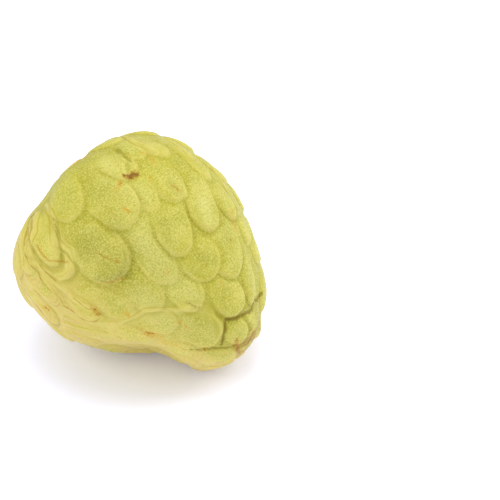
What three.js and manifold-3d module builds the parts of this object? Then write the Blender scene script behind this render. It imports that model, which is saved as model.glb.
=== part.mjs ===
// A custard apple (cherimoya): one solid fruit, blunt cone in shape, lying on its side.
// Millimetres, +Z up.  The fruit's own axis runs from the stem end to the apex and dips
// toward the apex; +X is the level direction of that axis.  The origin is on the plane it
// rests on, under the middle of its outline seen from above.
import * as THREE from 'three';
import { mergeVertices } from 'three/addons/utils/BufferGeometryUtils.js';
import Module from 'manifold-3d';

const wasm = await Module();
wasm.setup();

// ---- driving dimensions (mm, degrees) ----

const AXIS_DIP = 26;          // how far the stem-to-apex axis dips below level
const FLAT_DEPTH = 1.2;       // height of the cap that the resting flat takes off
const MESH_DETAIL = 21;       // subdivisions of each edge of the starting icosahedron
const CURVE_STEPS = 40;       // straight pieces in each span of the profile
const HALF_TURN = 180;

// Half outline of the fruit, from the bottom of the stem dimple to the apex:
// distance along the axis, distance from the axis.
const PROFILE = [
  [10.5, 0], [10, 5], [8, 12], [6, 21], [7, 31], [13, 40.5], [24, 47.5], [38, 51],
  [53, 51], [67, 46.5], [81, 39.5], [95, 31], [106, 22.5], [113, 13], [115.5, 6], [116, 0],
];

// A place on the skin is a latitude and a longitude in degrees.  Latitude 0 is the stem
// end and 180 the apex, measured along the skin; longitude 0 is on top, 90 on the -Y side.

// Broad swellings (+) and hollows (-): latitude, longitude, height, reach.
const SWELLINGS = [
  [54, 104, 3.5, 15], [130, 120, -7.8, 12], [108, 124, -2.9, 10], [56, 335, -0.7, 14],
  [150, 325, -3.3, 13], [166, 345, -0.8, 8], [40, 59, -2.5, 4.5], [44, 76, 2.1, 7],
  [42, 38, 1.0, 8], [128, 148, -3.9, 12], [144, 294, 1.8, 9], [162, 280, -1.6, 8],
  [168, 165, -2, 8], [83, 316, -1.6, 9], [92, 140, -1.2, 8], [33, 48, 0.9, 8],
  [149, 152, 1, 6], [99, 46, -1.2, 5],
];

// The scales of the side that shows best, one tongue each: latitude and longitude of the
// root, latitude and longitude of the tip, width, lift of the tip.
const FRONT_SCALES = [
  [36, 42, 64, 49, 18, 1.4], [46, 12, 70, 15, 14, 1.3], [50, 28, 86, 34, 20, 1.6],
  [66, 56, 98, 54, 23, 3.2], [39, 63, 70, 74, 13, 2.3], [57, 80, 79, 70, 12, 1.9],
  [56, 91, 81, 89, 10, 1.5], [79, 83, 101, 83, 9, 1.1], [80, 74, 112, 72, 13, 1.1],
  [96, 59, 120, 56, 15, 0.8], [86, 35, 117, 42, 15, 0.8], [81, 12, 112, 27, 16, 1.2],
  [68, 1, 93, 8, 15, 1.3], [64, 12, 89, 22, 11, 0.6], [80, -11, 112, 4, 17, 1.2],
  [92, -18, 114, -23, 13, 1.5], [66, -24, 93, -19, 10, 1.2], [46, -12, 72, -10, 12, 1.2],
  [46, 1, 66, 1, 10, 0.9], [110, -8, 136, 7, 20, 1.4], [107, 17, 129, 22, 18, 0.8],
  [113, 39, 134, 43, 14, 0.9], [129, 18, 152, 18, 17, 1.6], [128, -18, 155, -9, 12, 1.2],
  [129, 59, 153, 54, 17, 1.0], [112, 71, 132, 65, 13, 1.0], [100, 87, 126, 88, 13, 0.9],
  [80, 98, 106, 98, 12, 1.0], [138, 90, 169, 82, 14, 1.4], [124, 92, 146, 84, 11, 0.6],
  [150, 36, 166, 35, 11, 1.1], [152, 2, 168, 4, 9, 1.1], [38, 84, 62, 88, 13, 1.6],
  [112, -32, 128, -32, 11, 1.3],
];

// The other scales sit on a growth spiral, each one a golden angle on from the last.
const SPIRAL = {
  count: 104,                 // places on the spiral over the whole fruit
  turn: 137.508,              // golden angle
  start: 60,                  // longitude before the first place
  firstLatitude: 24,          // none inside the stem dimple
  lastLatitude: 172,          // no tip goes past the apex
  halfLength: 12,             // in degrees of latitude
  widthAtApex: 9,
  widthAtBelly: 18,
  lift: 1.2,
  leastLift: 0.2,
  flatUntil: 14,              // the lift grows between these two latitudes
  fullFrom: 44,
  clearance: 4,               // least distance from the edge of a front scale,
  probes: [0.15, 0.5, 0.85],  // measured at these shares of its length
};

const SCALE = {
  squareness: 2.4,            // exponent of the outline: 2 is an ellipse
  edgeInner: 1.6,             // the rim starts this far inside the outline
  edgeOuter: 1.4,             // and reaches the skin below this far outside it
  grooveDepth: 0.5,           // the groove round a tongue goes this far below the skin
  grooveShare: 0.6,           // and cuts this share of what lies above that
  grooveOffset: 1.4,          // groove centre, outside the outline
  grooveReach: 1.1,
  coverFade: [-1.05, -0.35],  // along the tongue, -1 root to 1 tip: its root blends in here,
  climb: [-1, 0.8],           // it rises to its full lift here,
  grooveFade: [-0.9, -0.2],   // and the groove beside it deepens here
  rootLift: 0.25,             // share of the lift that the root keeps
  doming: 0.35,               // share of the lift lost from the middle to the rim
  skinDepth: 16,              // a scale acts on skin within this depth of its own plane
};

const BELLY_RADIUS = 51;
const REST = { latitude: 102, longitude: 180, reach: 15, smoothing: 1 };
const STEM_SCAR = { radius: 5, height: 0.9, rim: 1.5 };

// ---- small helpers ----

const radians = (degrees) => THREE.MathUtils.degToRad(degrees);
const lerp = THREE.MathUtils.lerp;
const smooth = (from, to, x) => THREE.MathUtils.smoothstep(x, from, to);
const bell = (distance, reach) => Math.exp(-(distance * distance) / (2 * reach * reach));

// ---- the bare form ----

// The profile as a fine polyline with the running length and swept area at each point.
function sampleProfile() {
  const curve = new THREE.SplineCurve(PROFILE.map(([along, radius]) => new THREE.Vector2(along, radius)));
  const steps = CURVE_STEPS * (PROFILE.length - 1);
  const points = curve.getPoints(steps);
  const lengths = [0];
  const areas = [0];
  for (let i = 1; i <= steps; i += 1) {
    const piece = points[i].distanceTo(points[i - 1]);
    lengths.push(lengths[i - 1] + piece);
    areas.push(areas[i - 1] + piece * (points[i].y + points[i - 1].y) / 2);
  }
  return { points, lengths, areas };
}

const profile = sampleProfile();

// Position (as a fractional index) at which a rising list reaches a value.
function indexAt(list, value) {
  let low = 0;
  let high = list.length - 1;
  while (high - low > 1) {
    const middle = Math.floor((low + high) / 2);
    if (list[middle] <= value) low = middle;
    else high = middle;
  }
  return low + THREE.MathUtils.clamp((value - list[low]) / (list[high] - list[low]), 0, 1);
}

function profileAt(latitude) {
  const total = profile.lengths[profile.lengths.length - 1];
  const index = indexAt(profile.lengths, total * THREE.MathUtils.clamp(latitude / HALF_TURN, 0, 1));
  const low = Math.min(Math.floor(index), profile.points.length - 2);
  return profile.points[low].clone().lerp(profile.points[low + 1], index - low);
}

// Turns a profile direction or position about the axis to its longitude.
function turned(flat, longitude) {
  const angle = radians(longitude);
  return new THREE.Vector3(flat.x, -flat.y * Math.sin(angle), flat.y * Math.cos(angle));
}

// Point and outward normal of the bare form, in the fruit's own frame (X along its axis).
function bareSkin(latitude, longitude) {
  const tangent = profileAt(latitude + 1).sub(profileAt(latitude - 1)).normalize();
  return {
    point: turned(profileAt(latitude), longitude),
    normal: turned(new THREE.Vector2(-tangent.y, tangent.x), longitude),
  };
}

// ---- scales ----

// A scale as a flat tongue in space: its middle, its own axes and its size.
function makeScale([rootLatitude, rootLongitude, tipLatitude, tipLongitude, width, lift]) {
  const root = bareSkin(rootLatitude, rootLongitude).point;
  const tip = bareSkin(tipLatitude, tipLongitude).point;
  const middle = bareSkin((rootLatitude + tipLatitude) / 2, (rootLongitude + tipLongitude) / 2);
  const forward = tip.clone().sub(root).normalize();
  const out = middle.normal.clone().addScaledVector(forward, -middle.normal.dot(forward)).normalize();
  return {
    centre: root.clone().lerp(tip, 0.5),
    forward,
    out,
    sideways: new THREE.Vector3().crossVectors(out, forward),
    halfLength: root.distanceTo(tip) / 2,
    halfWidth: width / 2,
    tipLatitude,
    lift,
  };
}

// Rows for the growth spiral, apart from places where a front scale already sits.
function spiralRows() {
  const taken = FRONT_SCALES.flatMap(([rootLat, rootLon, tipLat, tipLon, width]) => (
    SPIRAL.probes.map((share) => ({
      point: bareSkin(lerp(rootLat, tipLat, share), lerp(rootLon, tipLon, share)).point,
      keepOff: width / 2 + SPIRAL.clearance,
    }))
  ));
  const totalArea = profile.areas[profile.areas.length - 1];
  const totalLength = profile.lengths[profile.lengths.length - 1];
  const rows = [];
  for (let k = 0; k < SPIRAL.count; k += 1) {
    const index = indexAt(profile.areas, totalArea * (k + 0.5) / SPIRAL.count);
    const low = Math.floor(index);
    const length = lerp(profile.lengths[low], profile.lengths[low + 1], index - low);
    const latitude = HALF_TURN * length / totalLength;
    const longitude = SPIRAL.start + k * SPIRAL.turn;
    const place = bareSkin(latitude, longitude).point;
    const free = taken.every(({ point, keepOff }) => point.distanceTo(place) > keepOff);
    if (latitude < SPIRAL.firstLatitude || !free) continue;
    const width = lerp(SPIRAL.widthAtApex, SPIRAL.widthAtBelly, profileAt(latitude).y / BELLY_RADIUS);
    const lift = SPIRAL.leastLift + SPIRAL.lift * smooth(SPIRAL.flatUntil, SPIRAL.fullFrom, latitude);
    const tip = Math.min(latitude + SPIRAL.halfLength, SPIRAL.lastLatitude);
    rows.push([latitude - SPIRAL.halfLength, longitude, tip, longitude, width, lift]);
  }
  return rows;
}

// Each tongue lies over the roots of the ones nearer the apex, so those are laid first.
const scales = [...FRONT_SCALES, ...spiralRows()]
  .map(makeScale)
  .sort((a, b) => b.tipLatitude - a.tipLatitude);

// The skin's height at a point after one more scale is laid over it.
function layScale(height, scale, point) {
  const from = point.clone().sub(scale.centre);
  if (Math.abs(from.dot(scale.out)) > SCALE.skinDepth) return height;
  const along = from.dot(scale.forward) / scale.halfLength;
  const across = from.dot(scale.sideways) / scale.halfWidth;
  const power = SCALE.squareness;
  const spread = (Math.abs(along) ** power + Math.abs(across) ** power) ** (1 / power);
  const outside = (spread - 1) * Math.min(scale.halfLength, scale.halfWidth);
  const cover = (1 - smooth(-SCALE.edgeInner, SCALE.edgeOuter, outside)) * smooth(...SCALE.coverFade, along);
  const rise = lerp(SCALE.rootLift, 1, smooth(...SCALE.climb, along));
  const plate = scale.lift * rise * (1 - SCALE.doming * Math.min(spread, 1) ** 3);
  const groove = SCALE.grooveShare * bell(outside - SCALE.grooveOffset, SCALE.grooveReach)
    * smooth(...SCALE.grooveFade, along);
  return lerp(lerp(height, plate, cover), -SCALE.grooveDepth, groove);
}

// ---- the skin ----

const restPoint = bareSkin(REST.latitude, REST.longitude).point;
const swellings = SWELLINGS.map(([latitude, longitude, height, reach]) => (
  { point: bareSkin(latitude, longitude).point, height, reach }
));

// The woody scar left by the stem: a low round pad on the bottom of the dimple.
function stemScar(point, latitude) {
  if (latitude > SPIRAL.firstLatitude) return 0;
  const radius = Math.hypot(point.y, point.z);
  return STEM_SCAR.height * (1 - smooth(STEM_SCAR.radius - STEM_SCAR.rim, STEM_SCAR.radius, radius));
}

function skinHeight(point, latitude) {
  const broad = swellings.reduce((sum, s) => sum + s.height * bell(point.distanceTo(s.point), s.reach), 0);
  const fine = scales.reduce((height, scale) => layScale(height, scale, point), 0);
  const worn = REST.smoothing * bell(point.distanceTo(restPoint), REST.reach);
  return broad + fine * (1 - worn) + stemScar(point, latitude);
}

// The whole skin: an icosphere whose points are moved out to the fruit's surface.
function skinGeometry() {
  const sphere = new THREE.IcosahedronGeometry(1, MESH_DETAIL);
  sphere.deleteAttribute('normal');
  sphere.deleteAttribute('uv');
  const geometry = mergeVertices(sphere);
  const position = geometry.attributes.position;
  for (let i = 0; i < position.count; i += 1) {
    const direction = new THREE.Vector3().fromBufferAttribute(position, i).normalize();
    const latitude = THREE.MathUtils.radToDeg(Math.acos(THREE.MathUtils.clamp(-direction.x, -1, 1)));
    const longitude = THREE.MathUtils.radToDeg(Math.atan2(-direction.y, direction.z));
    const { point, normal } = bareSkin(latitude, longitude);
    const skin = point.clone().addScaledVector(normal, skinHeight(point, latitude));
    position.setXYZ(i, skin.x, skin.y, skin.z);
  }
  return geometry;
}

// ---- laying it down and cutting the flat ----

function toSolid(geometry) {
  const merged = mergeVertices(geometry);
  const mesh = new wasm.Mesh({
    numProp: 3,
    vertProperties: new Float32Array(merged.attributes.position.array),
    triVerts: new Uint32Array(merged.index.array),
  });
  return new wasm.Manifold(mesh);
}

function toGeometry(solid) {
  const mesh = solid.getMesh();
  const geometry = new THREE.BufferGeometry();
  geometry.setAttribute('position', new THREE.BufferAttribute(new Float32Array(mesh.vertProperties), 3));
  geometry.setIndex(new THREE.BufferAttribute(new Uint32Array(mesh.triVerts), 1));
  geometry.computeVertexNormals();
  return geometry;
}

// Takes off what is below the plane it rests on, which leaves the small flat.
function cutFlat(geometry) {
  geometry.computeBoundingBox();
  const size = geometry.boundingBox.getSize(new THREE.Vector3());
  const table = new THREE.BoxGeometry(size.x * 2, size.y * 2, size.z);
  table.deleteAttribute('normal');
  table.deleteAttribute('uv');
  table.translate(0, 0, -size.z / 2);
  return toGeometry(toSolid(geometry).subtract(toSolid(table)));
}

function fruitGeometry() {
  const skin = skinGeometry();
  skin.rotateY(radians(AXIS_DIP));
  skin.computeBoundingBox();
  const { min, max } = skin.boundingBox;
  skin.translate(-(min.x + max.x) / 2, -(min.y + max.y) / 2, -min.z - FLAT_DEPTH);
  return cutFlat(skin);
}

const fruit = new THREE.Mesh(
  fruitGeometry(),
  new THREE.MeshStandardMaterial({ color: 0xc9c46a, roughness: 0.55, metalness: 0 }),
);
fruit.name = 'fruit';

const custardApple = new THREE.Group();
custardApple.name = 'custard_apple';
custardApple.add(fruit);

export default custardApple;
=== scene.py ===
"""A ripe custard apple lying on its side on a pale table, in soft studio light.

The CAD solid gives the fruit's place and size.  The skin shown here is a finer mesh of the
same form: a blunt cone with overlapping scales, each a tongue that points to the apex.
Lengths in the form are millimetres and are turned into metres when the mesh is made.
"""
import math

import bpy
import numpy as np
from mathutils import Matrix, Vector, noise


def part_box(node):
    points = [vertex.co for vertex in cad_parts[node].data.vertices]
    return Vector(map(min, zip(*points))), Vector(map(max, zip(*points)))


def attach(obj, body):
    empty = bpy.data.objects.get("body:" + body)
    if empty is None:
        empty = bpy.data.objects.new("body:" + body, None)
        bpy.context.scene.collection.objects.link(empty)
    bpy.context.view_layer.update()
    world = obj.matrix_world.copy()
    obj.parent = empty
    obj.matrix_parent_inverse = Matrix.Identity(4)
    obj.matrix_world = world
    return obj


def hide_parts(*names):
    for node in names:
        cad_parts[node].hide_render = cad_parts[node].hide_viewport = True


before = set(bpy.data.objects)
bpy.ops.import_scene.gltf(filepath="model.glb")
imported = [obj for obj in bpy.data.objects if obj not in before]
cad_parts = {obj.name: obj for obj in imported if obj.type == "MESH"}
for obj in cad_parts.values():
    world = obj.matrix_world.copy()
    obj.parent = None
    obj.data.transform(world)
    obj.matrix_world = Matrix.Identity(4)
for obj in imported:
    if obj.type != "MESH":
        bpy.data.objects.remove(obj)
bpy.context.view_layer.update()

MM = 0.001
SEED = 7               # of every random draw, so that each run makes the same fruit

# ---- the fruit's form, in millimetres and degrees ----

AXIS_DIP = 26          # how far the stem-to-apex axis dips below level
FLAT_DEPTH = 1.2       # height of the cap that the resting flat takes off
FACE_CELLS = 126       # cells along each edge of the cube that the skin's mesh starts as
CURVE_STEPS = 40       # straight pieces in each span of the profile
BELLY_RADIUS = 51
HALF_TURN = 180

# Half outline, from the bottom of the stem dimple to the apex: distance along the axis,
# distance from the axis.
PROFILE = [
    (10.5, 0), (10, 5), (8, 12), (6, 21), (7, 31), (13, 40.5), (24, 47.5), (38, 51),
    (53, 51), (67, 46.5), (81, 39.5), (95, 31), (106, 22.5), (113, 13), (115.5, 6), (116, 0),
]

# A place on the skin is a latitude and a longitude in degrees.  Latitude 0 is the stem end
# and 180 the apex, measured along the skin; longitude 0 is on top, 90 on the -Y side.

# Broad swellings (+) and hollows (-): latitude, longitude, height, reach.
SWELLINGS = [
    (54, 104, 3.5, 15), (130, 120, -7.8, 12), (108, 124, -2.9, 10), (56, 335, -0.7, 14),
    (150, 325, -3.3, 13), (166, 345, -0.8, 8), (40, 59, -2.5, 4.5), (44, 76, 2.1, 7),
    (42, 38, 1.0, 8), (128, 148, -3.9, 12), (144, 294, 1.8, 9), (162, 280, -1.6, 8),
    (168, 165, -2, 8), (83, 316, -1.6, 9), (92, 140, -1.2, 8), (33, 48, 0.9, 8),
    (149, 152, 1, 6), (99, 46, -1.2, 5),
]

# The scales of the side that shows best: latitude and longitude of the root, latitude and
# longitude of the tip, width, lift of the tip, strength of the groove beside it.
FRONT_SCALES = [
    (36, 42, 64, 49, 18, 1.4, 0.5), (46, 12, 70, 15, 14, 1.3, 0.5),
    (50, 28, 86, 34, 20, 1.6, 0.5), (66, 56, 98, 54, 23, 3.2, 0.65),
    (39, 63, 70, 74, 13, 2.3, 0.9), (57, 80, 79, 70, 12, 1.9, 0.6),
    (56, 91, 81, 89, 10, 1.5, 0.4), (79, 83, 101, 83, 9, 1.1, 0.4),
    (80, 74, 112, 72, 13, 1.1, 0.3), (96, 59, 120, 56, 15, 0.8, 0.4),
    (86, 35, 117, 42, 15, 0.8, 0.4), (81, 12, 112, 27, 16, 1.2, 0.6),
    (68, 1, 93, 8, 15, 1.3, 0.5), (64, 12, 89, 22, 11, 0.6, 0.3),
    (80, -11, 112, 4, 17, 1.2, 0.6), (92, -18, 114, -23, 13, 1.5, 0.7),
    (66, -24, 93, -19, 10, 1.2, 0.5), (46, -12, 72, -10, 12, 1.2, 0.4),
    (46, 1, 66, 1, 10, 0.5, 0.4), (110, -8, 136, 7, 20, 1.4, 0.7),
    (107, 17, 129, 22, 18, 0.8, 0.5), (113, 39, 134, 43, 14, 0.9, 0.4),
    (129, 18, 152, 18, 17, 1.6, 0.9), (128, -18, 155, -9, 12, 1.2, 0.7),
    (129, 59, 153, 54, 17, 1.0, 0.5), (112, 71, 132, 65, 13, 1.0, 0.4),
    (100, 87, 126, 88, 13, 0.9, 0.2), (80, 98, 106, 98, 12, 1.0, 0.2),
    (138, 90, 169, 82, 14, 1.4, 0.7), (124, 92, 146, 84, 11, 0.6, 0.2),
    (150, 36, 166, 35, 11, 1.1, 0.9), (152, 2, 168, 4, 9, 1.1, 0.8),
    (38, 84, 62, 88, 13, 1.6, 0.4), (112, -32, 128, -32, 11, 1.3, 0.6),
]

# The other scales sit on a growth spiral, each one a golden angle on from the last.
SPIRAL_COUNT = 104
GOLDEN_ANGLE = 137.508
SPIRAL_START = 60
SPIRAL_FIRST_LATITUDE = 24       # none inside the stem dimple
SPIRAL_LAST_LATITUDE = 172       # no tip goes past the apex
SPIRAL_HALF_LENGTH = 12          # in degrees of latitude
SPIRAL_WIDTHS = (9, 18)          # at the apex, at the belly
SPIRAL_LIFT = (0.2, 1.4)         # beside the dimple, over the rest of the fruit
SPIRAL_LIFT_LATITUDES = (14, 44)
SPIRAL_CLEARANCE = 4             # least distance from the edge of a front scale,
SPIRAL_PROBES = (0.15, 0.5, 0.85)    # measured at these shares of its length
SPIRAL_GROOVES = (0.3, 0.7)      # least and greatest strength

# Shape of one scale.  "Along" runs from -1 at the root to 1 at the tip.
OUTLINE_POWER = 2.4              # 2 is an ellipse, more is squarer
OUTLINE_WAVER = 0.9              # how far an outline strays from its plain shape,
OUTLINE_WAVE = 8                 # over about this length
RIM_FALL = 1.0                   # the rim starts to fall this far inside, for each mm of lift,
RIM_END = 0.8                    # and reaches the skin below this far outside
RIM_OFFSET = -0.6                # the pale band on the rim, from the outline
RIM_REACH = 0.6
GROOVE_DEPTH = 0.28              # below the skin
GROOVE_OFFSET = 0.8              # middle of the groove, from the outline
GROOVE_REACH = 0.7
COVER_FADE = (-1.05, -0.35)      # along the scale: its root blends in here,
CLIMB = (-1, 0.8)                # it rises to its full lift here,
GROOVE_FADE = (-0.8, 0.4)        # and the rim and groove beside it begin here
ROOT_LIFT = 0.25                 # share of the lift that the root keeps
DOMING = 0.35                    # share of the lift lost from the middle to the rim
SKIN_DEPTH = 16                  # a scale acts on skin within this depth of its own plane

REST_PLACE = (102, 180)
REST_REACH = 15
STEM_SCAR_RADIUS = 5
STEM_SCAR_HEIGHT = 0.9
STEM_SCAR_RIM = 1.5

# Soft unevenness of the skin: size, height and a shift of the pattern.
UNEVENNESS = [(7, 0.22, (0, 0, 0)), (2.6, 0.07, (9, 4, 1))]
UNEVENNESS_WORN = 0.7            # share of it lost where the fruit rests

MARK_DEPTHS = {"scar": 0.25, "crack": 0.6, "dent": 0.7, "ridge": -0.7}
FRAY = 0.4                       # marks stray this far from a straight stroke,
FRAY_WAVE = 3                    # over about this length

FAR_AWAY = 9.0                   # stands for any greater distance from an outline or a mark
TINY = 1e-6                      # keeps a path that goes nowhere from dividing by zero
WELD_DIGITS = 6                  # corners of the cube's faces that agree this far are one
HOLLOW_STEPS = 160               # smoothing steps over the mesh, to tell hollows from crests
LOW_SIDE = (48, 108)             # longitudes between which the low side of the skin begins

# Marks on the skin, each a path over the skin: width in mm, strength, then the latitude and
# longitude of each place that it runs through.  Scars are brown and a little sunken, cracks
# are olive-brown and deeper, dents are only pressed in, and stains are soft and orange.
SCARS = [
    (1.2, 0.9, (67, 18), (69, 17)), (2.4, 1.0, (69, 17), (70, 13)), (1.1, 0.6, (68, 22), (69, 23)),
    (0.9, 0.8, (96, 80), (95, 80)), (1.1, 0.8, (98, 82), (99, 81)), (0.7, 0.7, (105, 84), (105, 85)),
    (0.6, 0.5, (119, 78), (119, 77)), (0.9, 0.9, (122, 80), (125, 79)),
    (1.0, 0.9, (150, 75), (150, 74)), (0.7, 0.8, (121, -7), (122, -7)), (1.4, 0.55, (86, 5), (89, 5)),
    (1.1, 0.7, (75, 100), (77, 100)), (2.4, 0.7, (161, 46), (164, 52)),
    (2.6, 0.7, (172, 40), (170, -8)), (2.2, 0.7, (166, 58), (173, 90)),
    (1.3, 0.45, (93, 63), (96, 61), (98, 57)),
]
CRACKS = [
    (1.4, 0.9, (152, -44), (155, -30), (153, -16), (157, -3), (155, 12), (153, 25), (149, 35)),
    (1.4, 0.8, (149, 37), (152, 44), (156, 61)), (0.8, 0.65, (144, 81), (153, 70), (164, 55)),
    (1.8, 0.4, (89, 65), (95, 62), (98, 54)), (0.9, 0.8, (41, 70), (46, 75), (52, 77)),
    (0.7, 0.5, (46, 56), (55, 59), (62, 62)), (0.8, 0.4, (65, -21), (76, -16)),
    (1.0, 0.5, (128, 46), (134, 44)),
]
DENTS = [
    (2.2, 1.0, (52, 4), (55, 6)), (1.6, 0.9, (57, 6), (63, 9)), (1.6, 0.7, (64, 12), (67, 15)),
    (4.0, 0.5, (84, 5), (90, 5)), (2.2, 0.7, (96, 80), (99, 81)), (2.0, 0.4, (57, 84), (64, 79)),
    (2.4, 0.4, (119, 34), (121, 33)),
]
STAINS = [
    (2.2, 0.6, (95, 79), (97, 81)), (2.0, 0.6, (108, 72), (110, 73)), (1.0, 0.6, (91, 51), (92, 51)),
    (4.5, 0.6, (122, 80), (127, 79)), (1.6, 0.6, (64, -1), (66, -2)), (2.0, 0.5, (69, -1), (73, 2)),
    (1.8, 0.4, (134, 18), (137, 19)), (2.0, 0.5, (111, 40), (112, 40)), (1.2, 0.8, (79, 31), (81, 31)),
    (1.5, 0.5, (76, 10), (77, 11)), (2.6, 0.5, (68, 22), (70, 26)),
    (1.6, 0.35, (58, 73), (66, 75), (74, 68)), (2.6, 0.6, (75, 100), (77, 99)),
    (3.5, 0.4, (130, 83), (140, 82)), (4.0, 0.4, (83, 103), (92, 104)), (3.0, 0.7, (34, 26), (37, 14)),
    (2.5, 0.5, (110, -20), (120, -18)), (3.0, 0.4, (131, 60), (136, 62)),
    (5.0, 0.25, (86, 44), (92, 40)),
]
# Painted shade: broad darker, greener patches, darkest at the tip of the big scale and in the valley
# beside it; the big scale beside the stem end has the widest.
PAINTED_SHADES = [
    (15, 0.6, (79, 56), (92, 52)), (9, 0.5, (82, 40), (92, 44)), (5.0, 0.8, (90, 62), (99, 53)),
    (5.0, 0.4, (88, 44), (97, 47)), (9.0, 0.35, (50, 8), (60, 12)), (5.0, 0.35, (94, 22), (106, 30)),
    (5.0, 0.4, (116, 20), (124, 14)), (6.0, 0.3, (78, 66), (84, 64)),
]
# Broad paler patches: partly the waxy bloom where it is thickest, partly painted light.
BLOOMS_AND_PAINTED_LIGHT = [
    (10, 0.45, (52, -4), (62, -8)), (12, 0.5, (58, 18), (82, 22)), (10, 0.5, (86, 31), (100, 36)),
    (6.0, 0.7, (101, -2), (108, 2)), (7.0, 0.4, (82, 2), (94, 6)), (13.0, 0.6, (90, 36), (117, 42)),
    (14.0, 0.5, (112, 60), (132, 62)), (8.0, 0.5, (120, 36), (134, 44)), (8.0, 0.5, (64, 66), (78, 68)),
    (9.0, 0.3, (136, 58), (152, 54)), (6.0, 0.3, (84, 20), (90, 24)),
]
# Pale raised rims, where the skin is folded up beside a scale.
RIDGES = [
    (1.7, 1.0, (93, 90), (101, 87), (109, 80), (113, 72), (115, 65), (120, 60), (127, 54), (130, 48)),
    (1.0, 0.6, (130, 48), (135, 43), (140, 39), (147, 43), (152, 50)),
    (1.6, 0.9, (40, 60), (45, 58), (52, 58), (56, 60), (60, 63), (64, 65.5)),
    (1.8, 1.0, (64, 65.5), (72, 64), (75, 66), (78, 70), (77.5, 75), (75, 79)),
    (2.2, 1.0, (43, 66), (47, 67), (52, 71), (53, 78), (57, 81), (61, 82.5), (67, 83), (73, 83),
        (79, 81.5), (86, 81.5), (93, 80)),
    (2.0, 0.9, (59, 95), (63, 95), (67, 97), (72, 97), (78, 94.5), (85, 90), (91, 88.5), (97, 88.5)),
    (1.8, 0.7, (46, 87), (53, 95), (58, 103), (67, 102), (75, 103), (83, 109)),
    (1.6, 0.7, (43, 78), (46, 79), (51, 86), (56, 91), (60, 94)),
    (1.6, 0.85, (43, -18), (54, -8), (66, -6)), (1.6, 0.85, (62, -32), (69, -27), (79, -21)),
    (1.5, 0.7, (89, -33), (100, -31), (110, -32)), (1.8, 0.6, (85, 103), (98, 95), (112, 93)),
]
# Hairline creases along the folds.
CREASES = [
    (0.7, 1.0, (47, 69), (50, 71), (52.5, 76)),
    (0.5, 1.0, (54, 84.5), (58, 85.5), (61, 86), (66, 86), (69, 87)),
    (0.45, 1.0, (63, 81.5), (67, 81.5), (71, 81.5), (74, 81)), (0.4, 0.9, (72, 87), (74, 87), (77, 87)),
    (0.7, 1.0, (59, 106), (68, 104), (76, 106), (83, 113)),
    (0.45, 1.0, (83, 90), (88, 89), (94, 90), (98, 88), (100, 84)),
    (0.4, 0.8, (56, 57), (64, 56), (72, 53)), (0.5, 0.8, (47, 77), (52, 82)),
    (0.4, 0.7, (77, 86), (79, 87), (81.5, 89), (80, 94), (78, 96)),
    (0.47, 1.0, (45, 70), (51, 73), (53, 78)),
    (0.53, 0.93, (58, 74), (62, 75), (67, 74), (71, 71), (74, 68)),
    (0.43, 0.9, (85, 81), (92, 81), (101, 81)), (0.4, 1.1, (82, 54), (88, 53), (93, 51)),
    (0.4, 0.9, (79, 31), (82, 30)), (0.4, 0.9, (52, -14), (64, -14)), (0.4, 0.9, (60, -20), (74, -22)),
    (0.4, 0.8, (78, -22), (90, -24)), (0.4, 0.7, (96, -22), (108, -25)),
    (0.4, 0.7, (104, 92), (120, 94)), (0.4, 0.7, (132, 96), (150, 94)),
]
# The shade marks are painted shade, and the bloom marks are partly painted light.
MARKS = {
    "scar": SCARS, "crack": CRACKS, "dent": DENTS, "stain": STAINS, "painted_shade": PAINTED_SHADES,
    "bloom_and_painted_light": BLOOMS_AND_PAINTED_LIGHT, "ridge": RIDGES,
}


def smooth(edges, value):
    """0 below the first edge, 1 above the second, and an S-curve between them."""
    share = np.clip((value - edges[0]) / (edges[1] - edges[0]), 0, 1)
    return share * share * (3 - 2 * share)


def bell(distance, reach):
    """1 at no distance, falling to nearly nothing at three times the reach."""
    return np.exp(-0.5 * (distance / reach) ** 2)


def mix(low, high, share):
    return low + (high - low) * share


# ---- the bare form ----

def sample_profile():
    """The profile as a fine polyline, with the running length and swept area at each point."""
    knots = np.array([PROFILE[0], *PROFILE, PROFILE[-1]], float)
    pieces = []
    for before, start, end, after in zip(knots, knots[1:], knots[2:], knots[3:]):
        step = (np.arange(CURVE_STEPS) / CURVE_STEPS)[:, None]
        leave = (end - before) / 2
        arrive = (after - start) / 2
        cubic = 2 * start - 2 * end + leave + arrive
        square = -3 * start + 3 * end - 2 * leave - arrive
        pieces.append(((cubic * step + square) * step + leave) * step + start)
    points = np.vstack([*pieces, knots[-1:]])
    steps = np.linalg.norm(np.diff(points, axis=0), axis=1)
    lengths = np.concatenate([[0], np.cumsum(steps)])
    areas = np.concatenate([[0], np.cumsum(steps * (points[1:, 1] + points[:-1, 1]) / 2)])
    return points, lengths / lengths[-1], areas / areas[-1]


PROFILE_POINTS, PROFILE_LENGTHS, PROFILE_AREAS = sample_profile()


def profile_at(latitude):
    share = np.clip(np.asarray(latitude, float) / HALF_TURN, 0, 1)
    along = np.interp(share, PROFILE_LENGTHS, PROFILE_POINTS[:, 0])
    radius = np.interp(share, PROFILE_LENGTHS, PROFILE_POINTS[:, 1])
    return along, radius


def turned(along, radius, longitude):
    """A profile place or direction, turned about the axis to its longitude."""
    angle = np.radians(longitude)
    return np.stack([along + 0 * angle, -radius * np.sin(angle), radius * np.cos(angle)], -1)


def bare_skin(latitude, longitude):
    """Points and outward normals of the bare form, in the fruit's own frame."""
    latitude = np.asarray(latitude, float)
    before = profile_at(latitude - 1)
    after = profile_at(latitude + 1)
    rise = after[0] - before[0]
    spread = after[1] - before[1]
    size = np.hypot(rise, spread)
    normals = turned(-spread / size, rise / size, longitude)
    return turned(*profile_at(latitude), longitude), normals


# ---- scales ----

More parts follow.
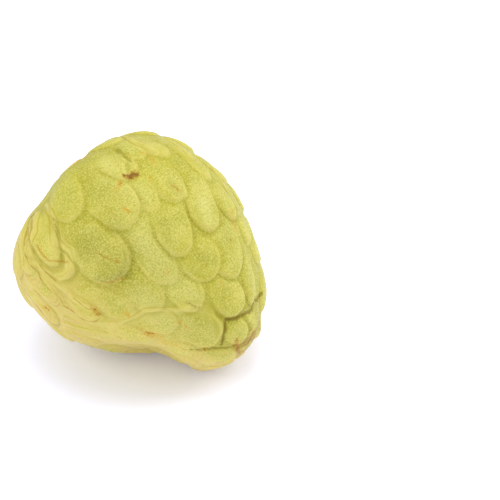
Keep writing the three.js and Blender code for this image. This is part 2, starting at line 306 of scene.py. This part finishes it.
def spiral_rows():
    """Scales on the growth spiral, apart from places where a front scale already sits."""
    random = np.random.default_rng(SEED)
    taken = []
    for root_lat, root_lon, tip_lat, tip_lon, width, *_ in FRONT_SCALES:
        for share in SPIRAL_PROBES:
            place = bare_skin(mix(root_lat, tip_lat, share), mix(root_lon, tip_lon, share))[0]
            taken.append((place, width / 2 + SPIRAL_CLEARANCE))
    rows = []
    for k in range(SPIRAL_COUNT):
        share = (k + 0.5) / SPIRAL_COUNT
        latitude = HALF_TURN * float(np.interp(share, PROFILE_AREAS, PROFILE_LENGTHS))
        longitude = SPIRAL_START + k * GOLDEN_ANGLE
        place = bare_skin(latitude, longitude)[0]
        free = all(np.linalg.norm(place - other) > keep_off for other, keep_off in taken)
        if latitude < SPIRAL_FIRST_LATITUDE or not free:
            continue
        width = mix(*SPIRAL_WIDTHS, float(profile_at(latitude)[1]) / BELLY_RADIUS)
        lift = mix(*SPIRAL_LIFT, float(smooth(SPIRAL_LIFT_LATITUDES, latitude)))
        tip = min(latitude + SPIRAL_HALF_LENGTH, SPIRAL_LAST_LATITUDE)
        groove = random.uniform(*SPIRAL_GROOVES)
        rows.append((latitude - SPIRAL_HALF_LENGTH, longitude, tip, longitude, width, lift, groove))
    return rows


def unit(vector):
    return vector / np.linalg.norm(vector)


def strayed(points, reach, wave):
    """The points moved by noise, so that what is measured from them wavers."""
    moves = [noise.noise_vector(Vector(point) / wave) for point in points]
    return points + reach * np.array(moves)


class Scale:
    """One scale, and how the points of the bare skin lie in it."""

    def __init__(self, row, points):
        root_lat, root_lon, tip_lat, tip_lon, width, self.lift, self.strength = row
        root = bare_skin(root_lat, root_lon)[0]
        tip = bare_skin(tip_lat, tip_lon)[0]
        normal = bare_skin((root_lat + tip_lat) / 2, (root_lon + tip_lon) / 2)[1]
        forward = unit(tip - root)
        out = unit(normal - forward * (normal @ forward))
        half_length = np.linalg.norm(tip - root) / 2
        half_width = width / 2
        offset = points - (root + tip) / 2
        self.near = np.abs(offset @ out) < SKIN_DEPTH
        self.along = offset @ forward / half_length
        across = offset @ np.cross(out, forward) / half_width
        powers = np.abs(self.along) ** OUTLINE_POWER + np.abs(across) ** OUTLINE_POWER
        self.spread = powers ** (1 / OUTLINE_POWER)
        self.outside = (self.spread - 1) * min(half_length, half_width)

    def cover(self):
        """How fully the scale hides the skin below it."""
        edge = (-RIM_FALL * self.lift, RIM_END)
        return (1 - smooth(edge, self.outside)) * smooth(COVER_FADE, self.along) * self.near

    def plate(self):
        """Height of the scale's own surface."""
        climb = mix(ROOT_LIFT, 1, smooth(CLIMB, self.along))
        return self.lift * climb * (1 - DOMING * np.minimum(self.spread, 1) ** 3)

    def ring(self, offset, reach):
        """A band that follows the outline from side to side round the tip."""
        return bell(self.outside - offset, reach) * smooth(GROOVE_FADE, self.along) * self.near

    def closest(self, line):
        """Where this scale is on top, or its outline is nearer than the one in line."""
        nearer = (self.outside < 0) | (self.outside < np.abs(line))
        return nearer & (self.along > GROOVE_FADE[0]) & self.near


def lay_scales(points):
    """Lays every scale over the bare skin, the ones nearest the apex first.

    Gives the height of the skin at each point and the masks that the material reads: rim
    and groove of the topmost scale, its own tint, and the distance outside its outline.
    """
    random = np.random.default_rng(SEED)
    points = strayed(points, OUTLINE_WAVER, OUTLINE_WAVE)
    height, rim, groove, tint = (np.zeros(len(points)) for _ in range(4))
    line = np.full(len(points), FAR_AWAY)
    for row in sorted([*FRONT_SCALES, *spiral_rows()], key=lambda row: -row[2]):
        scale = Scale(row, points)
        cover = scale.cover()
        ring = scale.ring(GROOVE_OFFSET, GROOVE_REACH) * scale.strength
        height = mix(mix(height, scale.plate(), cover), -GROOVE_DEPTH, ring)
        rim = np.maximum(rim * (1 - cover), scale.ring(RIM_OFFSET, RIM_REACH))
        groove = np.maximum(groove * (1 - cover), ring)
        tint = mix(tint, random.random(), cover)
        line = np.where(scale.closest(line), scale.outside, line)
    return height, {"rim": rim, "groove": groove, "tint": tint, "line": line}


# ---- marks ----

def distance_to_path(points, places):
    """How far each point is from a path of straight pieces between places on the bare skin."""
    distance = np.full(len(points), np.inf)
    ends = [bare_skin(*place)[0] for place in places]
    for start, end in zip(ends, ends[1:]):
        run = end - start
        share = np.clip((points - start) @ run / max(run @ run, TINY), 0, 1)
        nearest = start + share[:, None] * run
        distance = np.minimum(distance, np.linalg.norm(points - nearest, axis=1))
    return distance


def strokes(points, paths):
    """How strongly the marks show at each point: most along a path, fading to its edge."""
    shown = np.zeros(len(points))
    for width, strength, *places in paths:
        shown = np.maximum(shown, strength * bell(distance_to_path(points, places), width / 2))
    return shown


def crease_gap(points):
    """How far each point is from the nearest crease, in widths of it; a weak one seems further."""
    gap = np.full(len(points), FAR_AWAY)
    for width, strength, *places in CREASES:
        gap = np.minimum(gap, distance_to_path(points, places) / width + 1 - strength)
    return gap


def fold_gap(points):
    """How far each point is from the nearest ridge, in millimetres."""
    gap = np.full(len(points), FAR_AWAY)
    for _, _, *places in RIDGES:
        gap = np.minimum(gap, distance_to_path(points, places))
    return gap


# ---- the mesh ----

def cube_sphere(cells):
    """A unit sphere of square cells, made from a cube: directions and quads facing out."""
    line = np.tan(np.linspace(-math.pi / 4, math.pi / 4, cells + 1))
    u, v = (grid.ravel() for grid in np.meshgrid(line, line, indexing="ij"))
    corner = (np.arange(cells)[:, None] * (cells + 1) + np.arange(cells)).ravel()
    quad = np.stack([corner, corner + cells + 1, corner + cells + 2, corner + 1], 1)
    points = []
    quads = []
    for axis in range(3):
        for side in (-1, 1):
            face = np.empty((len(u), 3))
            face[:, axis] = side
            face[:, (axis + 1) % 3] = u
            face[:, (axis + 2) % 3] = v
            quads.append((quad if side > 0 else quad[:, ::-1]) + len(u) * len(points))
            points.append(face)
    points = np.vstack(points)
    places = np.round(points, WELD_DIGITS)
    _, first, back = np.unique(places, axis=0, return_index=True, return_inverse=True)
    points = points[first]
    return points / np.linalg.norm(points, axis=1)[:, None], back.reshape(-1)[np.vstack(quads)]


def near(points, place, reach):
    """1 at a place on the skin, falling off round it."""
    return bell(np.linalg.norm(points - bare_skin(*place)[0], axis=1), reach)


def stem_scar(points, latitude):
    """1 on the woody scar at the bottom of the stem dimple, 0 elsewhere."""
    from_axis = np.hypot(points[:, 1], points[:, 2])
    scar = 1 - smooth((STEM_SCAR_RADIUS - STEM_SCAR_RIM, STEM_SCAR_RADIUS), from_axis)
    return scar * (latitude < SPIRAL_FIRST_LATITUDE)


def unevenness(points):
    """Soft unevenness of the skin, in millimetres."""
    height = np.zeros(len(points))
    for size, most, shift in UNEVENNESS:
        waves = [noise.noise(Vector(point) / size + Vector(shift)) for point in points]
        height += most * np.array(waves)
    return height


def hollows(height, quads):
    """How far each point lies below the mean of the skin round it, in millimetres."""
    shares = np.bincount(quads.ravel())
    mean = height
    for _ in range(HOLLOW_STEPS):
        mean = np.bincount(quads.ravel(), np.repeat(mean[quads].mean(1), 4)) / shares
    return mean - height


def place_in_row(points):
    """Lays the fruit down and puts it where the CAD fruit is, in metres."""
    dip = math.radians(AXIS_DIP)
    x = points[:, 0] * math.cos(dip) + points[:, 2] * math.sin(dip)
    z = points[:, 2] * math.cos(dip) - points[:, 0] * math.sin(dip)
    laid = np.stack([x, points[:, 1], z], 1) * MM
    low, high = (np.array(corner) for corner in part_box("fruit"))
    shift = (low + high) / 2 - (laid.min(0) + laid.max(0)) / 2
    shift[2] = low[2] - laid[:, 2].min() - FLAT_DEPTH * MM
    laid += shift
    laid[:, 2] = np.maximum(laid[:, 2], low[2])
    return laid


def skin_object(points, quads, masks):
    mesh = bpy.data.meshes.new("custard_apple_skin")
    mesh.from_pydata(points.tolist(), [], quads.tolist())
    mesh.polygons.foreach_set("use_smooth", [True] * len(quads))
    for name, values in masks.items():
        mask = mesh.attributes.new(name, "FLOAT", "POINT")
        mask.data.foreach_set("value", values.astype(np.float32))
    fruit = bpy.data.objects.new("custard_apple", mesh)
    bpy.context.scene.collection.objects.link(fruit)
    return fruit


def make_fruit():
    noise.seed_set(SEED)       # its vectors would otherwise be seeded from the clock
    directions, quads = cube_sphere(FACE_CELLS)
    latitude = np.degrees(np.arccos(np.clip(-directions[:, 0], -1, 1)))
    longitude = np.degrees(np.arctan2(-directions[:, 1], directions[:, 2]))
    points, normals = bare_skin(latitude, longitude)
    relief, scale_masks = lay_scales(points)
    frayed = strayed(points, FRAY, FRAY_WAVE)
    marks = {name: strokes(frayed, paths) for name, paths in MARKS.items()}
    worn = near(points, REST_PLACE, REST_REACH)
    stem = stem_scar(points, latitude)

    height = relief * (1 - worn) + stem * STEM_SCAR_HEIGHT
    for lat, lon, rise, reach in SWELLINGS:
        height += rise * near(points, (lat, lon), reach)
    height += unevenness(points) * (1 - UNEVENNESS_WORN * worn)
    height -= sum(depth * marks[name] for name, depth in MARK_DEPTHS.items())

    # The hollow mask carries painted shade into the hollows and a painted highlight onto the crests.
    return skin_object(place_in_row(points + normals * height[:, None]), quads, {
        **scale_masks, **marks, "stem": stem, "hollow": hollows(height, quads),
        "crease": crease_gap(frayed), "fold_gap": fold_gap(frayed),
        "latitude": latitude / HALF_TURN, "low_side": smooth(LOW_SIDE, np.abs(longitude)),
    })


# ---- materials ----

def paint(red, green, blue):
    """A colour given as it shows on a screen, from 0 to 255, as the shader wants it."""
    shown = np.array([red, green, blue]) / 255
    linear = np.where(shown < 0.04045, shown / 12.92, ((shown + 0.055) / 1.055) ** 2.4)
    return (*(float(part) for part in linear), 1.0)


PAD_GREEN = paint(182, 179, 66)
PAD_YELLOW = paint(200, 193, 80)
PAD_DEEP = paint(166, 162, 56)
SPECK_LIGHT = paint(214, 209, 112)
SPECK_DARK = paint(150, 148, 34)
MOTTLE_PALE = paint(212, 203, 104)
MOTTLE_DEEP = paint(172, 165, 36)
SEAM_GREEN = paint(188, 180, 14)
# The next two are painted shade in the hollows and a painted highlight on the crests.
HOLLOW_PAINTED_SHADE = paint(164, 158, 2)
CREST_PAINTED_HIGHLIGHT = paint(216, 206, 100)
# Paler bloom, partly the waxy skin and partly painted light.
BLOOM_AND_PAINTED_LIGHT_PALE = paint(216, 213, 124)
# Painted shade, for the broad darker, greener patches.
PAINTED_SHADE_GREEN = paint(138, 139, 34)
WARM_SIDE = paint(208, 190, 78)
RIM_PALE = paint(212, 200, 104)
RIM_PINK = paint(214, 180, 112)
FIBRE_DARK = paint(178, 160, 48)
GROOVE_OLIVE = paint(138, 130, 0)
CONTOUR_TAN = paint(178, 136, 36)
CREASE_BROWN = paint(168, 124, 20)
STAIN_ORANGE = paint(208, 152, 20)
SCAR_BROWN = paint(124, 82, 4)
CRACK_BROWN = paint(122, 100, 0)
DENT_GREEN = paint(140, 132, 6)
APEX_BROWN = paint(150, 112, 30)
WOOD = paint(120, 92, 62)

# Patterns on the skin, in waves per metre.
PATCHES = 55
MOTTLES = 95
SPECKLES = 1500
# breaks up the painted shade in the hollows
HOLLOW_PATCHES = 70
GROOVE_BREAKS = 85
PINK_PATCHES = 120
CONTOUR_WOBBLES = 160
CONTOUR_BREAKS = 220
CREASE_BREAKS = 260
APEX_EDGES = 160
MARK_EDGES = 900
GLOSS_PATCHES = 400
GRAIN = 1900
PORES = 1100

# Fibres and bands run along the folds.  Their waves are per millimetre away from a ridge, and
# the stretch is the number of millimetres that the fruit's whole length counts as.
FIBRES = 1.3
FIBRE_STRETCH = 9.0
BANDS = 0.45
BAND_STRETCH = 14.0

FOLD_REACH = 6                 # fibres show this far from a ridge,
FOLD_CORE = 1.5                # and fully this near it
LINE_OFFSET = 0.45             # fine line in a groove, from the outline
CONTOUR_WAVES = 5.2            # radians of the contour lines in a millimetre
CONTOUR_WOBBLE = 2.4           # how far they stray
NOISE_SPAN = (0.3, 0.7)        # nearly all values of a noise lie between these
ROUGHNESS = (0.5, 0.64)        # in the glossier patches, in the duller ones
GRAIN_BUMP = (0.00025, 0.5)    # depth in metres, strength
PORE_BUMP = (0.0002, 0.35)
SKIN_FINISH = {                # lengths in metres
    "Specular IOR Level": 0.25,
    "Subsurface Weight": 0.12,
    "Subsurface Radius": (0.0030, 0.0024, 0.0008),
    "Subsurface Scale": 1.0,
    "Sheen Weight": 0.05,
    "Sheen Roughness": 0.5,
}


class Shader:
    """A material's node tree, with short calls for the nodes that the skin uses."""

    def __init__(self, name):
        self.material = bpy.data.materials.new(name)
        self.material.use_nodes = True
        self.nodes = self.material.node_tree.nodes
        self.links = self.material.node_tree.links
        self.surface = self.nodes["Principled BSDF"]
        self.place = self.nodes.new("ShaderNodeTexCoord").outputs["Object"]

    def put(self, socket, value):
        if isinstance(value, bpy.types.NodeSocket):
            self.links.new(value, socket)
        else:
            socket.default_value = value

    def attribute(self, name):
        node = self.nodes.new("ShaderNodeAttribute")
        node.attribute_name = name
        return node.outputs["Fac"]

    def noise(self, scale, detail=2.0, place=None):
        node = self.nodes.new("ShaderNodeTexNoise")
        node.inputs["Scale"].default_value = scale
        node.inputs["Detail"].default_value = detail
        self.put(node.inputs["Vector"], place or self.place)
        return node.outputs["Fac"]

    def cells(self, scale):
        node = self.nodes.new("ShaderNodeTexVoronoi")
        node.inputs["Scale"].default_value = scale
        self.put(node.inputs["Vector"], self.place)
        return node.outputs["Distance"]

    def vector(self, x, y):
        node = self.nodes.new("ShaderNodeCombineXYZ")
        self.put(node.inputs["X"], x)
        self.put(node.inputs["Y"], y)
        return node.outputs["Vector"]

    def distance(self):
        """How far each point is from the object's own origin."""
        node = self.nodes.new("ShaderNodeVectorMath")
        node.operation = "LENGTH"
        self.put(node.inputs[0], self.place)
        return node.outputs["Value"]

    def math(self, operation, first, second=0.0):
        node = self.nodes.new("ShaderNodeMath")
        node.operation = operation
        self.put(node.inputs[0], first)
        self.put(node.inputs[1], second)
        return node.outputs[0]

    def times(self, first, second):
        return self.math("MULTIPLY", first, second)

    def ramp(self, value, start, end, low=0.0, high=1.0):
        """low up to start, high from end on, and an S-curve between."""
        node = self.nodes.new("ShaderNodeMapRange")
        node.interpolation_type = "SMOOTHSTEP"
        self.put(node.inputs["Value"], value)
        numbers = {"From Min": start, "From Max": end, "To Min": low, "To Max": high}
        for name, number in numbers.items():
            node.inputs[name].default_value = number
        return node.outputs["Result"]

    def mix(self, share, first, second):
        node = self.nodes.new("ShaderNodeMix")
        node.data_type = "RGBA"
        self.put(node.inputs["Factor"], share)
        colours = [socket for socket in node.inputs if socket.type == "RGBA"]
        self.put(colours[0], first)
        self.put(colours[1], second)
        return [socket for socket in node.outputs if socket.type == "RGBA"][0]

    def over(self, colour, upper, value, start, end, most=1.0):
        """The upper colour over the other: none of it where value is start, most at end."""
        return self.mix(self.ramp(value, start, end, 0.0, most), colour, upper)

    def bump(self, height, distance, strength, below=None):
        node = self.nodes.new("ShaderNodeBump")
        node.inputs["Distance"].default_value = distance
        node.inputs["Strength"].default_value = strength
        self.put(node.inputs["Height"], height)
        if below is not None:
            self.put(node.inputs["Normal"], below)
        return node.outputs["Normal"]

    def set_fixed(self, values):
        """Sets the shader's own sockets to numbers or colours that are the same all over."""
        for name, value in values.items():
            self.surface.inputs[name].default_value = value


def pads(skin):
    """Yellow-green scales, each a little different, warmer on the low side, with mottling."""
    patch = skin.noise(PATCHES, detail=3.0)
    mottle = skin.noise(MOTTLES, detail=3.0)
    colour = skin.over(PAD_GREEN, PAD_YELLOW, patch, 0.35, 0.68)
    colour = skin.over(colour, PAD_DEEP, skin.attribute("tint"), 0.7, 0.0, most=0.35)
    warmth = skin.ramp(patch, 0.3, 0.6, low=0.5, high=0.95)
    colour = skin.mix(skin.times(skin.attribute("low_side"), warmth), colour, WARM_SIDE)
    colour = skin.over(colour, MOTTLE_PALE, mottle, 0.5, 0.72, most=0.6)
    return skin.over(colour, MOTTLE_DEEP, mottle, 0.48, 0.3, most=0.6)


def shaded(skin, colour):
    """Greener seams; broad patches of painted shade; a paler bloom that is partly painted light;
    painted shade in the hollows and a painted highlight on the crests.
    """
    near_line = skin.ramp(skin.math("ABSOLUTE", skin.attribute("line")), 3.4, 0.2, high=0.4)
    high_side = skin.ramp(skin.attribute("low_side"), 0.0, 0.8, low=1.0, high=0.15)
    colour = skin.mix(skin.times(near_line, high_side), colour, SEAM_GREEN)
    # Painted shade in broad darker, greener patches.
    colour = skin.over(colour, PAINTED_SHADE_GREEN, skin.attribute("painted_shade"), 0.0, 1.0, most=0.9)
    # A paler bloom, partly waxy skin and partly painted light.
    colour = skin.over(colour, BLOOM_AND_PAINTED_LIGHT_PALE, skin.attribute("bloom_and_painted_light"), 0.0, 1.0, most=0.9)
    # Painted shade in the hollows and a painted highlight on the crests.
    hollow = skin.attribute("hollow")
    patch = skin.ramp(skin.noise(HOLLOW_PATCHES), 0.38, 0.6, low=0.2, high=0.6)
    colour = skin.mix(skin.times(skin.ramp(hollow, 0.04, 0.8), patch), colour, HOLLOW_PAINTED_SHADE)
    return skin.over(colour, CREST_PAINTED_HIGHLIGHT, hollow, -0.04, -0.8, most=0.3)


def speckled(skin, colour):
    """A fine light and dark speckle, weaker beside a fold."""
    speckle = skin.noise(SPECKLES, detail=4.0)
    share = skin.ramp(skin.attribute("fold_gap"), FOLD_CORE, FOLD_REACH, low=0.25)
    light = skin.times(skin.ramp(speckle, 0.46, 0.66, high=0.65), share)
    dark = skin.times(skin.ramp(speckle, 0.54, 0.3, high=0.54), share)
    return skin.mix(dark, skin.mix(light, colour, SPECK_LIGHT), SPECK_DARK)


def streaks(skin, waves, stretch, detail):
    """Noise in streaks that run along the folds."""
    along = skin.times(skin.attribute("latitude"), stretch)
    return skin.noise(waves, detail, skin.vector(skin.attribute("fold_gap"), along))


def folded(skin, colour):
    """Fibres and pinkish bands along the folds, and pale rims and ridges."""
    low_side = skin.attribute("low_side")
    share = skin.ramp(skin.attribute("fold_gap"), FOLD_REACH, FOLD_CORE)
    fibre = streaks(skin, FIBRES, FIBRE_STRETCH, detail=3.0)
    light = skin.times(share, skin.ramp(fibre, 0.5, 0.68, high=0.8))
    dark = skin.times(share, skin.ramp(fibre, 0.5, 0.3, high=0.7))
    colour = skin.mix(dark, skin.mix(light, colour, RIM_PALE), FIBRE_DARK)
    band = skin.times(low_side, streaks(skin, BANDS, BAND_STRETCH, detail=2.0))
    colour = skin.over(colour, RIM_PINK, band, 0.4, 0.6, most=0.6)
    edge = skin.times(skin.ramp(skin.attribute("line"), -3.0, -0.8, high=0.75), low_side)
    rim = skin.ramp(skin.attribute("rim"), 0.3, 1.0, high=0.45)
    ridge = skin.ramp(skin.attribute("ridge"), 0.2, 0.9, high=0.8)
    pale = skin.math("MAXIMUM", skin.math("MAXIMUM", edge, rim), ridge)
    colour = skin.mix(pale, colour, RIM_PALE)
    pink = skin.times(edge, skin.ramp(skin.noise(PINK_PATCHES), 0.35, 0.75, high=0.6))
    return skin.mix(pink, colour, RIM_PINK)


def grooved(skin, colour):
    """A soft dark band in the grooves, with a fine line along the middle of each."""
    groove = skin.attribute("groove")
    off_line = skin.math("ABSOLUTE", skin.math("SUBTRACT", skin.attribute("line"), LINE_OFFSET))
    fine = skin.times(skin.ramp(off_line, 0.6, 0.0), skin.ramp(groove, 0.1, 0.7, high=0.6))
    band = skin.math("MAXIMUM", fine, skin.ramp(groove, 0.05, 0.9, high=0.3))
    broken = skin.ramp(skin.noise(GROOVE_BREAKS, detail=3.0), 0.38, 0.6, low=0.35)
    return skin.mix(skin.times(band, broken), colour, GROOVE_OLIVE)


def contoured(skin, colour):
    """Fine broken lines that run along the rims of the scales on the low side."""
    outside = skin.attribute("line")
    wobble = skin.times(skin.noise(CONTOUR_WOBBLES), CONTOUR_WOBBLE)
    wave = skin.math("SINE", skin.times(skin.math("ADD", outside, wobble), CONTOUR_WAVES))
    near_rim = skin.times(skin.ramp(outside, -4.0, -1.6), skin.attribute("low_side"))
    broken = skin.ramp(skin.noise(CONTOUR_BREAKS), 0.42, 0.62)
    line = skin.times(skin.ramp(wave, 0.5, 1.0, high=0.4), skin.times(near_rim, broken))
    return skin.mix(line, colour, CONTOUR_TAN)


def marked(skin, colour):
    """Creases, dents, stains, cracks, scars, the rough apex and the stem's woody scar."""
    edges = skin.noise(MARK_EDGES, detail=4.0)

    def ragged(name, low, high):
        """A mask with a little added to it or taken away, so that its edge is uneven."""
        return skin.math("ADD", skin.attribute(name), skin.ramp(edges, *NOISE_SPAN, low, high))

    breaks = skin.ramp(skin.noise(CREASE_BREAKS, detail=3.0), 0.35, 0.65, high=0.45)
    crease = skin.math("ADD", skin.attribute("crease"), breaks)
    colour = skin.over(colour, CREASE_BROWN, crease, 1.6, 0.5, most=0.65)
    colour = skin.over(colour, DENT_GREEN, skin.attribute("dent"), 0.1, 1.0, most=0.6)
    colour = skin.over(colour, STAIN_ORANGE, ragged("stain", -0.25, 0.15), 0.1, 0.9, most=0.8)
    rough = skin.ramp(skin.noise(APEX_EDGES, detail=4.0), *NOISE_SPAN, -0.06, 0.06)
    apex = skin.math("ADD", skin.attribute("latitude"), rough)
    colour = skin.over(colour, APEX_BROWN, apex, 0.94, 0.99, most=0.7)
    colour = skin.over(colour, CRACK_BROWN, ragged("crack", -0.2, 0.2), 0.05, 1.0, most=0.9)
    scar = ragged("scar", -0.25, 0.2)
    colour = skin.over(colour, STAIN_ORANGE, scar, 0.0, 0.7, most=0.5)
    colour = skin.over(colour, SCAR_BROWN, scar, 0.2, 1.0, most=0.9)
    return skin.over(colour, WOOD, skin.attribute("stem"), 0.3, 0.8)


def skin_material():
    skin = Shader("custard_apple_skin")
    colour = pads(skin)
    for layer in (shaded, speckled, folded, grooved, contoured, marked):
        colour = layer(skin, colour)
    skin.put(skin.surface.inputs["Base Color"], colour)
    gloss = skin.noise(GLOSS_PATCHES, detail=3.0)
    skin.put(skin.surface.inputs["Roughness"], skin.ramp(gloss, *NOISE_SPAN, *ROUGHNESS))
    grain = skin.bump(skin.noise(GRAIN), *GRAIN_BUMP)
    skin.put(skin.surface.inputs["Normal"], skin.bump(skin.cells(PORES), *PORE_BUMP, grain))
    skin.set_fixed(SKIN_FINISH)
    return skin.material


# ---- stage, lights and camera ----

TABLE_HALF = 0.9
TABLE_FINISH = {
    "Base Color": (0.92, 0.93, 1.0, 1.0),
    "Emission Color": (0.60, 0.62, 1.0, 1.0),
    "Roughness": 0.9,
    "Specular IOR Level": 0.1,
}
# The table glows and lights the fruit from below; its glow is lower beside the fruit, a painted shadow
# round it.
TABLE_GLOW_AND_PAINTED_SHADOW = (0.15, 0.43)      # a light table: its glow beside the fruit and far from it,
PAINTED_SHADOW_EDGES = (0.036, 0.072)    # which changes between these distances from the middle
WHITE = (1.0, 1.0, 1.0, 1.0)
WORLD_STRENGTH = 0.60          # as light on the fruit,
WORLD_SEEN = 1.0               # and as the backdrop that the camera sees
SOFTBOXES = [                  # place, size, watts; all face the fruit
    ((-0.26, -0.64, 0.62), 0.6, 2.8),
    ((0.42, 0.62, 0.50), 0.7, 3.7),
    ((0.05, 0.05, 0.90), 0.5, 2.0),
]
SOFTBOX_AIM = (0.0, 0.0, 0.04)

VIEW_AZIMUTH = 34
VIEW_ELEVATION = 35
VIEW_DISTANCE = 0.700
VIEW_WIDTH = 0.2273            # width of the scene in view at the fruit
SENSOR_WIDTH = 36
AIM_RIGHT = 0.0455             # the view's middle, measured from the middle of the fruit
AIM_UP = 0.0005
AIM_BACK = -0.0030


def table_material():
    table = Shader("pale_table")
    # Less glow near the middle: a painted shadow round the fruit.
    glow = table.ramp(table.distance(), *PAINTED_SHADOW_EDGES, *TABLE_GLOW_AND_PAINTED_SHADOW)
    table.put(table.surface.inputs["Emission Strength"], glow)
    table.set_fixed(TABLE_FINISH)
    return table.material


def make_table():
    mesh = bpy.data.meshes.new("pale_table")
    corners = [(-1, -1), (1, -1), (1, 1), (-1, 1)]
    mesh.from_pydata([(x * TABLE_HALF, y * TABLE_HALF, 0) for x, y in corners], [], [(0, 1, 2, 3)])
    mesh.materials.append(table_material())
    table = bpy.data.objects.new("pale_table", mesh)
    bpy.context.scene.collection.objects.link(table)


def make_world():
    world = bpy.data.worlds.new("white_room")
    world.use_nodes = True
    nodes = world.node_tree.nodes
    background = nodes["Background"]
    background.inputs["Color"].default_value = WHITE
    seen = nodes.new("ShaderNodeLightPath").outputs["Is Camera Ray"]
    strength = nodes.new("ShaderNodeMapRange")
    strength.inputs["To Min"].default_value = WORLD_STRENGTH
    strength.inputs["To Max"].default_value = WORLD_SEEN
    world.node_tree.links.new(seen, strength.inputs["Value"])
    world.node_tree.links.new(strength.outputs["Result"], background.inputs["Strength"])
    bpy.context.scene.world = world


def look_at(thing, place, aim):
    thing.location = place
    thing.rotation_euler = (Vector(aim) - Vector(place)).to_track_quat("-Z", "Y").to_euler()


def make_softboxes():
    for place, size, watts in SOFTBOXES:
        softbox = bpy.data.lights.new("softbox", "AREA")
        softbox.energy = watts
        softbox.size = size
        lamp = bpy.data.objects.new("softbox", softbox)
        bpy.context.scene.collection.objects.link(lamp)
        look_at(lamp, place, SOFTBOX_AIM)


def make_camera():
    azimuth = math.radians(VIEW_AZIMUTH)
    elevation = math.radians(VIEW_ELEVATION)
    right = Vector((math.cos(azimuth), math.sin(azimuth), 0))
    back = Vector((math.sin(azimuth), -math.cos(azimuth), 0)) * math.cos(elevation)
    back.z = math.sin(elevation)
    low, high = (Vector(corner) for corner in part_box("fruit"))
    aim = (low + high) / 2 + right * AIM_RIGHT + back.cross(right) * AIM_UP + back * AIM_BACK
    camera = bpy.data.cameras.new("camera")
    camera.sensor_width = SENSOR_WIDTH
    camera.lens = SENSOR_WIDTH * VIEW_DISTANCE / VIEW_WIDTH
    eye = bpy.data.objects.new("camera", camera)
    bpy.context.scene.collection.objects.link(eye)
    look_at(eye, aim + back * VIEW_DISTANCE, aim)
    bpy.context.scene.camera = eye


fruit = make_fruit()
fruit.data.materials.append(skin_material())
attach(fruit, "root")
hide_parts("fruit")
make_table()
make_world()
make_softboxes()
make_camera()
bpy.context.scene.view_settings.view_transform = "Standard"
